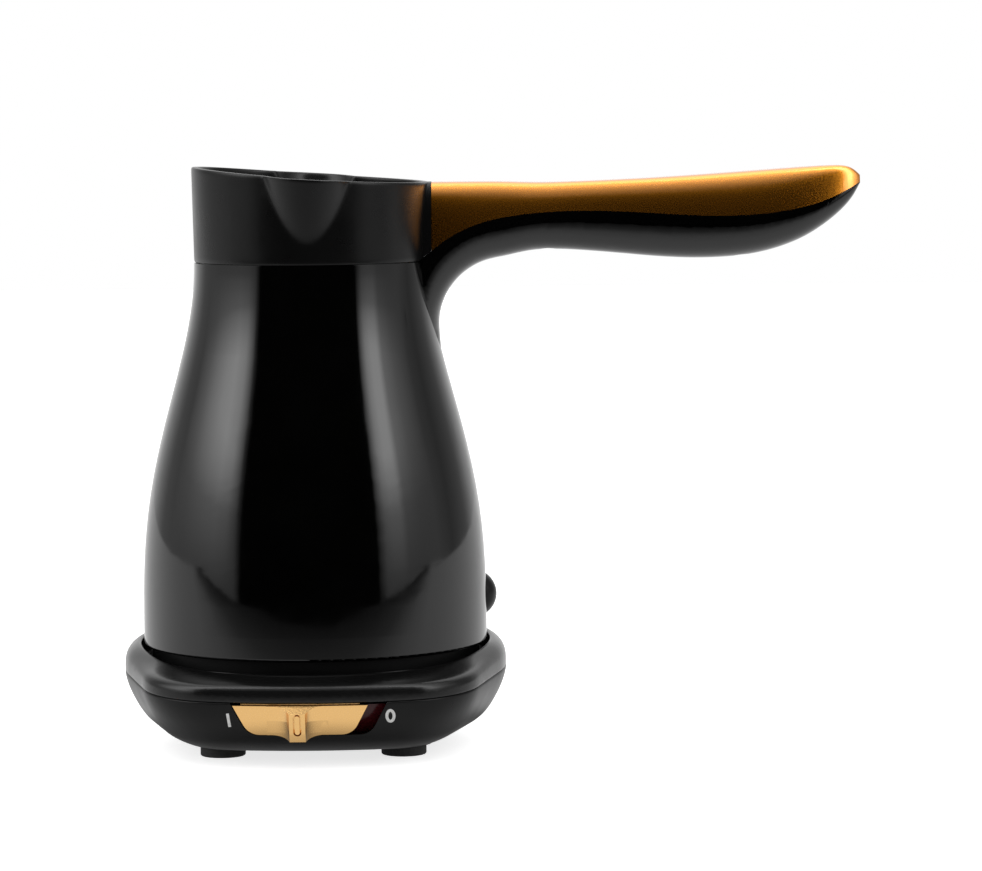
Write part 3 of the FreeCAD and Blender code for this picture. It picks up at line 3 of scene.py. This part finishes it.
import bpy
from mathutils import Euler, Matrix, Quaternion


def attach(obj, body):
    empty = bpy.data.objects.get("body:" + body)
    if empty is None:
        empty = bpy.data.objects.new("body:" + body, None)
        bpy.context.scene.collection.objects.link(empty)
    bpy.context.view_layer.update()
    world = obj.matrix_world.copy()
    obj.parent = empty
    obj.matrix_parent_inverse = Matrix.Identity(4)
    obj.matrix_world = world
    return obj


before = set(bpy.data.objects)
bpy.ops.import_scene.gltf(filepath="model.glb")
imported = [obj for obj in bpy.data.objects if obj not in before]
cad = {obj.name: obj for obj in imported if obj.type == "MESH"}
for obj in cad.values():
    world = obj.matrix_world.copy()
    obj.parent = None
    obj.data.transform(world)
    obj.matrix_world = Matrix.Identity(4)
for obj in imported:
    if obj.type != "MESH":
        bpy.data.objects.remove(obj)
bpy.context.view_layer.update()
bpy.ops.object.select_all(action="DESELECT")


# Rubber feet and the cord's gland: black moulded rubber with a fine tooth, dulled where it is
# handled. The feet plug into bosses under the base, and the gland is pulled into its back wall.
def finish(name, colour, roughness, **settings):
    """A material whose plain values sit on the shader's own sockets."""
    material = bpy.data.materials.new(name)
    material.use_nodes = True
    shader = material.node_tree.nodes["Principled BSDF"]
    shader.inputs["Base Color"].default_value = (*colour, 1.0)
    shader.inputs["Roughness"].default_value = roughness
    for socket, value in settings.items():
        shader.inputs[socket.replace("_", " ")].default_value = value
    return material


def added(material, kind, **inputs):
    """A node of a kind in a material, its inputs set by value or joined to another node's output."""
    tree = material.node_tree
    node = tree.nodes.new(kind)
    for socket, value in inputs.items():
        place = node.inputs[socket.replace("_", " ")]
        if isinstance(value, bpy.types.NodeSocket):
            tree.links.new(value, place)
        else:
            place.default_value = value
    return node


def noise(material, scale, detail=3.0, stretch=(1.0, 1.0, 1.0)):
    """Noise on the piece's own coordinates, with its scale in turns for each metre."""
    place = added(material, "ShaderNodeTexCoord").outputs["Object"]
    mapping = added(material, "ShaderNodeMapping", Vector=place, Scale=stretch)
    texture = added(material, "ShaderNodeTexNoise", Vector=mapping.outputs["Vector"], Scale=scale, Detail=detail)
    return texture.outputs["Fac"]


def toned(material, value, low, high):
    """Colour that runs from a low tone to a high one with a value."""
    ramp = added(material, "ShaderNodeValToRGB", Fac=value)
    ramp.color_ramp.elements[0].color = (*low, 1.0)
    ramp.color_ramp.elements[0].position = 0.35
    ramp.color_ramp.elements[1].color = (*high, 1.0)
    ramp.color_ramp.elements[1].position = 0.65
    shader = material.node_tree.nodes["Principled BSDF"]
    material.node_tree.links.new(ramp.outputs["Color"], shader.inputs["Base Color"])


def worn(material, value, low, high):
    """Roughness that runs between two limits with a value."""
    span = added(material, "ShaderNodeMapRange", Value=value, From_Min=0.3, From_Max=0.7, To_Min=low, To_Max=high)
    shader = material.node_tree.nodes["Principled BSDF"]
    material.node_tree.links.new(span.outputs["Result"], shader.inputs["Roughness"])


def raised(material, value, height):
    """Bump of a height in metres from a value."""
    bump = added(material, "ShaderNodeBump", Height=value, Distance=height, Strength=1.0)
    shader = material.node_tree.nodes["Principled BSDF"]
    material.node_tree.links.new(bump.outputs["Normal"], shader.inputs["Normal"])


def dress(material, *names):
    """Gives CAD nodes a material in place of their own."""
    for name in names:
        cad[name].data.materials.clear()
        cad[name].data.materials.append(material)


rubber = finish("black_rubber", (0.02, 0.02, 0.02), 0.7)
toned(rubber, noise(rubber, 180.0), (0.014, 0.014, 0.014), (0.03, 0.03, 0.029))
raised(rubber, noise(rubber, 2600.0), 0.00003)
dress(rubber, "foot_front_left", "foot_front_right", "foot_back_left", "foot_back_right", "cord_gland")

# Base bowl, ring and rear cap: satin black moulded plastic with a fine spark-eroded grain. The
# bowl carries the feet and the switch, and the smoother ring above it holds the pot's tray.
def moulded(name, tone, roughness, shine, grain, *nodes):
    """Black plastic of a tone and shine, with a grain of a depth in metres."""
    material = finish(name, (tone, tone, tone), roughness, Specular_IOR_Level=shine)
    toned(material, noise(material, 60.0), (tone * 0.85,) * 3, (tone * 1.15,) * 3)
    worn(material, noise(material, 90.0, 5.0), roughness - 0.03, roughness + 0.03)
    raised(material, noise(material, 3200.0, 4.0), grain)
    dress(material, *nodes)


moulded("bowl_plastic", 0.006, 0.3, 0.13, 0.000006, "base_bottom", "rear_cap")
moulded("ring_plastic", 0.006, 0.2, 0.26, 0.000003, "base_top")

# Bottom cover: the same plastic with a coarse, dull grain, screwed under the pot. Its tone, half the bowl's, is
# painted shade for the dark gap under the pot.
moulded("cover_plastic_painted_shade", 0.003, 0.5, 0.08, 0.00001, "bottom_cover")

# Inner mouldings: dull black nylon for the connectors, the switch body and the slider's carriage.
nylon = finish("black_nylon", (0.03, 0.03, 0.032), 0.55)
toned(nylon, noise(nylon, 120.0), (0.022, 0.022, 0.024), (0.04, 0.04, 0.042))
raised(nylon, noise(nylon, 2400.0), 0.00002)
dress(nylon, "base_connector", "pot_connector", "slider_carriage", "switch_body", "cord_clamp")

# Pale insulators: the terminal block, the thermostat's ceramic case and the switch's knob.
ceramic = finish("pale_insulator", (0.72, 0.69, 0.62), 0.5)
toned(ceramic, noise(ceramic, 300.0), (0.66, 0.63, 0.56), (0.76, 0.73, 0.66))
raised(ceramic, noise(ceramic, 2000.0), 0.00002)
dress(ceramic, "terminal_block", "thermostat", "switch_knob")

# Contacts and terminals: stamped brass, a little tarnished.
brass = finish("stamped_brass", (0.66, 0.45, 0.17), 0.3, Metallic=1.0)
toned(brass, noise(brass, 220.0), (0.5, 0.33, 0.12), (0.72, 0.5, 0.2))
worn(brass, noise(brass, 400.0), 0.22, 0.42)
dress(brass, "ring_contact", "centre_terminal", "centre_contact", "pot_contact_pin", "pot_contact_ring",
      "switch_tabs", "terminal_clamps", "element_terminals")

# Screws: zinc-plated steel with turned heads.
zinc = finish("zinc_screws", (0.55, 0.56, 0.58), 0.32, Metallic=1.0)
toned(zinc, noise(zinc, 500.0), (0.42, 0.43, 0.45), (0.62, 0.63, 0.64))
worn(zinc, noise(zinc, 900.0), 0.25, 0.45)
dress(zinc, "base_screws", "base_connector_screws", "switch_screws", "handle_screws", "bottom_screws",
      "pot_connector_screws", "cord_clamp_screws")

# Leads: silicone-sleeved wires, brown for live and blue for neutral.
brown = finish("brown_sleeve", (0.2, 0.08, 0.04), 0.5)
toned(brown, noise(brown, 200.0), (0.16, 0.06, 0.03), (0.24, 0.1, 0.05))
dress(brown, "base_live_lead", "base_switched_lead", "pot_live_lead", "pot_fuse_lead", "pot_heater_lead")
blue = finish("blue_sleeve", (0.03, 0.1, 0.35), 0.5)
toned(blue, noise(blue, 200.0), (0.02, 0.08, 0.3), (0.04, 0.12, 0.4))
dress(blue, "base_neutral_lead", "pot_neutral_lead")

# Seals: grey silicone rings under the cup's flange and round the bottom cover.
silicone = finish("grey_silicone", (0.5, 0.48, 0.44), 0.45)
toned(silicone, noise(silicone, 150.0), (0.46, 0.44, 0.4), (0.54, 0.52, 0.48))
dress(silicone, "collar_seal", "bottom_seal")

# Heater: an aluminium plate under the cup with a steel tube element pressed into its groove.
plate = finish("heater_aluminium", (0.6, 0.61, 0.63), 0.4, Metallic=1.0)
toned(plate, noise(plate, 90.0), (0.5, 0.5, 0.52), (0.66, 0.67, 0.69))
worn(plate, noise(plate, 600.0), 0.3, 0.5)
dress(plate, "heater_plate", "thermal_fuse")
sheath = finish("element_sheath", (0.2, 0.17, 0.14), 0.45, Metallic=1.0)
toned(sheath, noise(sheath, 120.0), (0.12, 0.1, 0.09), (0.28, 0.24, 0.2))
dress(sheath, "heating_element")

# Cup: drawn stainless steel, brushed round inside, hung by its flange under the collar.
steel = finish("drawn_stainless", (0.6, 0.6, 0.59), 0.25, Metallic=1.0)
toned(steel, noise(steel, 70.0, 3.0, (1.0, 1.0, 30.0)), (0.5, 0.5, 0.49), (0.64, 0.64, 0.63))
worn(steel, noise(steel, 90.0, 5.0, (1.0, 1.0, 40.0)), 0.18, 0.34)
dress(steel, "steel_vessel", "thermostat_bracket", "fuse_clip")

# Lens and lamp: a smoked dark red window with a neon lamp behind it. The slider uncovers it at I.
lens = finish("smoked_red_lens", (0.05, 0.005, 0.007), 0.2, Transmission_Weight=0.2, Specular_IOR_Level=0.2)
toned(lens, noise(lens, 80.0), (0.045, 0.0045, 0.006), (0.06, 0.006, 0.009))
dress(lens, "indicator_lens")
glass = finish("lamp_glass", (0.9, 0.6, 0.45), 0.05, Transmission_Weight=0.8)
toned(glass, noise(glass, 300.0), (0.85, 0.5, 0.35), (0.95, 0.7, 0.55))
dress(glass, "neon_lamp")

# Slider and the handle's top: plastic sprayed in warm gold with a fine metal flake. The handle's copy of the
# lacquer is darker and redder than the slider's, as painted shade.
def gold_lacquer(name, low, high, coat):
    """Gold with a flake that runs between two tones under a clear coat."""
    material = finish(name, high, 0.27, Metallic=1.0, Coat_Weight=coat, Coat_Roughness=0.1, Coat_IOR=1.6)
    toned(material, noise(material, 9000.0), low, high)
    worn(material, noise(material, 2500.0), 0.265, 0.275)
    return material


dress(gold_lacquer("gold_slider", (0.77, 0.46, 0.165), (0.85, 0.52, 0.2), 0.3), "switch_slider")
# Painted shade: the handle's gold tones are darker and redder than the slider's.
dress(gold_lacquer("gold_handle_painted_shade", (0.74, 0.26, 0.016), (0.8, 0.3, 0.024), 1.0), "handle_cover")

# Shell: high-gloss black plastic moulded in one with the handle's lower half.
gloss = finish("gloss_black_plastic", (0.0006, 0.0006, 0.0006), 0.06)
toned(gloss, noise(gloss, 40.0), (0.0005, 0.0005, 0.0005), (0.0009, 0.0009, 0.0009))
worn(gloss, noise(gloss, 150.0), 0.05, 0.08)
dress(gloss, "body_shell")

# Collar: satin black plastic pressed over the shell's neck, with a spout on each side.
moulded("collar_plastic", 0.003, 0.29, 0.24, 0.000006, "pouring_collar")

# Marks: I to the left of the slider and 0 to its right, pad-printed on the bowl in silver-white
# ink, and so thin that they only follow its curve.
mark_height = 0.0045
mark_stroke = 0.0009
zero_width = 0.0031
mark_lean = math.radians(7.0)
mark_on_place = (-0.0248, 0.0159)
mark_off_place = (0.0252, 0.0169)
mark_start = -0.075
ink_thickness = 0.00008
ink = finish("silver_ink", (0.6, 0.6, 0.59), 0.5)
toned(ink, noise(ink, 900.0), (0.56, 0.56, 0.55), (0.66, 0.66, 0.65))


def printed(mark, name, place, lean):
    """Stands a flat mark before the bowl, lays it on the bowl's face and gives it the ink's thickness."""
    mark.name = name
    mark.rotation_euler = (math.radians(90.0), lean, 0.0)
    mark.location = (place[0], mark_start, place[1])
    bpy.ops.object.transform_apply(location=True, rotation=True, scale=True)
    wrap = mark.modifiers.new("wrap", "SHRINKWRAP")
    wrap.wrap_method = "PROJECT"
    wrap.target = cad["base_bottom"]
    wrap.use_project_y = True
    wrap.use_positive_direction = True
    bpy.ops.object.modifier_apply(modifier="wrap")
    layer = mark.modifiers.new("layer", "SOLIDIFY")
    layer.thickness = ink_thickness
    layer.offset = 1.0
    bpy.ops.object.modifier_apply(modifier="layer")
    mark.data.materials.append(ink)
    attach(mark, "base")
    mark.select_set(False)


bpy.ops.mesh.primitive_grid_add(x_subdivisions=3, y_subdivisions=8, size=1.0)
bpy.ops.object.mode_set(mode="EDIT")
bpy.ops.transform.resize(value=(mark_stroke, mark_height, 1.0))
bpy.ops.object.mode_set(mode="OBJECT")
printed(bpy.context.object, "mark_on", mark_on_place, -mark_lean)

bpy.ops.mesh.primitive_circle_add(vertices=40, radius=0.5, fill_type="NGON")
bpy.ops.object.mode_set(mode="EDIT")
bpy.ops.transform.resize(value=(zero_width, mark_height, 1.0))
bpy.ops.mesh.inset(thickness=mark_stroke)
bpy.ops.mesh.delete(type="FACE")
bpy.ops.object.mode_set(mode="OBJECT")
printed(bpy.context.object, "mark_off", mark_off_place, 0.0)

# Floor: a sheet of white paper. The camera and clear pieces see it white with the object's shadow.
# Gloss sees a painted glow on it that grows darker to its front edge, with a painted shadow under the base.
floor_back, floor_front, floor_side = 3.0, -0.47, 3.0
paper_glow = 0.75
bpy.ops.mesh.primitive_plane_add(size=2.0)
floor = bpy.context.object
floor.name = "floor"
bpy.ops.object.mode_set(mode="EDIT")
bpy.ops.mesh.select_all(action="SELECT")
bpy.ops.transform.resize(value=(floor_side, (floor_back - floor_front) / 2, 1.0))
bpy.ops.transform.translate(value=(0.0, (floor_back + floor_front) / 2, 0.0))
bpy.ops.object.mode_set(mode="OBJECT")
paper = finish("floor_paper", (0.8, 0.8, 0.8), 0.9)
floor.data.materials.append(paper)
tree = paper.node_tree


def banded(material, value, stops):
    """Grey that follows a value through stops of position and level."""
    ramp = added(material, "ShaderNodeValToRGB", Fac=value)
    points = ramp.color_ramp.elements
    while len(points) < len(stops):
        points.new(0.5)
    for point, (position, level) in zip(points, stops):
        point.position = position
        point.color = (level, level, level, 1.0)
    return ramp.outputs["Color"]


def worked(material, operation, a, b=0.0):
    """Sum, product or other reckoning of two values."""
    node = material.node_tree.nodes.new("ShaderNodeMath")
    node.operation = operation
    for place, value in zip(node.inputs, (a, b)):
        if isinstance(value, bpy.types.NodeSocket):
            material.node_tree.links.new(value, place)
        else:
            place.default_value = value
    return node.outputs["Value"]


paths = added(paper, "ShaderNodeLightPath")
along = added(paper, "ShaderNodeSeparateXYZ", Vector=added(paper, "ShaderNodeTexCoord").outputs["Object"])
depth = worked(paper, "ADD", along.outputs["Y"], 1.0)
# Painted reflection: the glow that gloss sees, darker towards the floor's front edge.
painted_sheen = banded(paper, depth, [(0.53, 0.08), (0.62, 0.14), (0.72, 0.3), (0.82, 0.8), (0.9, 1.0)])
reach = added(paper, "ShaderNodeVectorMath", Vector=added(paper, "ShaderNodeTexCoord").outputs["Object"])
reach.operation = "LENGTH"
# Painted shadow: that glow is dimmed close round the base, where the bowl shades the floor.
under = banded(paper, reach.outputs["Value"], [(0.06, 0.25), (0.072, 1.0)])
painted_sheen = worked(paper, "MULTIPLY", painted_sheen, under)
gloss_view = added(paper, "ShaderNodeEmission", Strength=painted_sheen)
clear_view = worked(paper, "MAXIMUM", paths.outputs["Is Camera Ray"], paths.outputs["Is Transmission Ray"])
glow = added(paper, "ShaderNodeEmission", Strength=paper_glow)
white = added(paper, "ShaderNodeAddShader")
shader = tree.nodes["Principled BSDF"]
tree.links.new(shader.outputs[0], white.inputs[0])
tree.links.new(glow.outputs[0], white.inputs[1])
seen = added(paper, "ShaderNodeMixShader")
tree.links.new(clear_view, seen.inputs[0])
tree.links.new(shader.outputs[0], seen.inputs[1])
tree.links.new(white.outputs[0], seen.inputs[2])
mix = added(paper, "ShaderNodeMixShader")
tree.links.new(paths.outputs["Is Glossy Ray"], mix.inputs[0])
tree.links.new(seen.outputs[0], mix.inputs[1])
tree.links.new(gloss_view.outputs[0], mix.inputs[2])
tree.links.new(mix.outputs[0], tree.nodes["Material Output"].inputs["Surface"])

# Light: a white tent, open and dark in front, with a softbox to the left and to the right of the
# camera that grows brighter upwards. The camera sees the tent plain white.
box_strength, roof_strength = 4.4, 1.5
plain_low, plain_rise = 0.5, 0.6
world = bpy.data.worlds.new("tent")
bpy.context.scene.world = world
world.use_nodes = True
paths = added(world, "ShaderNodeLightPath")
sky = added(world, "ShaderNodeSeparateXYZ", Vector=added(world, "ShaderNodeTexCoord").outputs["Generated"])
turn = worked(world, "ARCTAN2", sky.outputs["X"], worked(world, "MULTIPLY", sky.outputs["Y"], -1.0))
turn = worked(world, "MULTIPLY_ADD", turn, 0.5 / math.pi)
turn.node.inputs[2].default_value = 0.5
height = worked(world, "MULTIPLY_ADD", sky.outputs["Z"], 0.5)
height.node.inputs[2].default_value = 0.5


def turned(degrees):
    """Place round the tent, from 0 to 1, of an angle to the right of the camera."""
    return degrees / 360.0 + 0.5


wall = banded(world, turn, [
    (turned(-160), 1.0), (turned(-145), 0.8), (turned(-125), 0.45), (turned(-110), 0.5), (turned(-54), 0.5),
    (turned(-49), 0.0), (turned(45), 0.0), (turned(52), 0.5), (turned(95), 0.55), (turned(110), 0.3),
    (turned(130), 0.4), (turned(145), 0.8), (turned(162), 1.0),
])
boxes = banded(world, turn, [
    (turned(-114), 0.0), (turned(-100), 0.3), (turned(-90), 0.6), (turned(-80), 0.85), (turned(-70), 1.0),
    (turned(-61), 0.8), (turned(-52), 0.0), (turned(45), 0.0), (turned(53), 0.75), (turned(58), 1.0),
    (turned(64), 1.0), (turned(69), 0.45), (turned(80), 0.22), (turned(98), 0.0),
])
climb = banded(world, height, [(0.465, 0.0), (0.53, 0.16), (0.58, 0.28), (0.66, 0.95), (0.7, 1.0)])
roof = banded(world, height, [(0.8, 0.0), (0.93, 0.6), (0.98, 1.0)])
boxes = worked(world, "MULTIPLY", worked(world, "MULTIPLY", boxes, climb), box_strength)
gloss_sky = worked(world, "ADD", wall, boxes)
gloss_sky = worked(world, "ADD", gloss_sky, worked(world, "MULTIPLY", roof, roof_strength))
plain = worked(world, "MULTIPLY_ADD", height, plain_rise)
plain.node.inputs[2].default_value = plain_low
lit = added(world, "ShaderNodeMix", Factor=paths.outputs["Is Camera Ray"], A=plain, B=1.0)
share = added(world, "ShaderNodeMix", Factor=paths.outputs["Is Glossy Ray"], A=lit.outputs["Result"], B=gloss_sky)
background = world.node_tree.nodes["Background"]
world.node_tree.links.new(share.outputs["Result"], background.inputs["Strength"])
background.inputs["Color"].default_value = (1.0, 1.0, 1.0, 1.0)

# Camera: a long lens from a little above the rim, tipped down and rolled by half a degree.
lens_length, sensor_width = 165.0, 36.0
camera_place = (0.057, -1.44, 0.216)
camera_pitch = 4.67
camera_roll = -0.5
view_camera = bpy.data.cameras.new("camera")
view_camera.sensor_width = sensor_width
view_camera.lens = lens_length
camera = bpy.data.objects.new("camera", view_camera)
bpy.context.scene.collection.objects.link(camera)
camera.location = camera_place
camera.rotation_mode = "QUATERNION"
tilt = Euler((math.radians(90.0 - camera_pitch), 0.0, 0.0)).to_quaternion()
camera.rotation_quaternion = tilt @ Quaternion((0.0, 0.0, 1.0), math.radians(camera_roll))
bpy.context.scene.camera = camera
bpy.context.scene.view_settings.view_transform = "Standard"
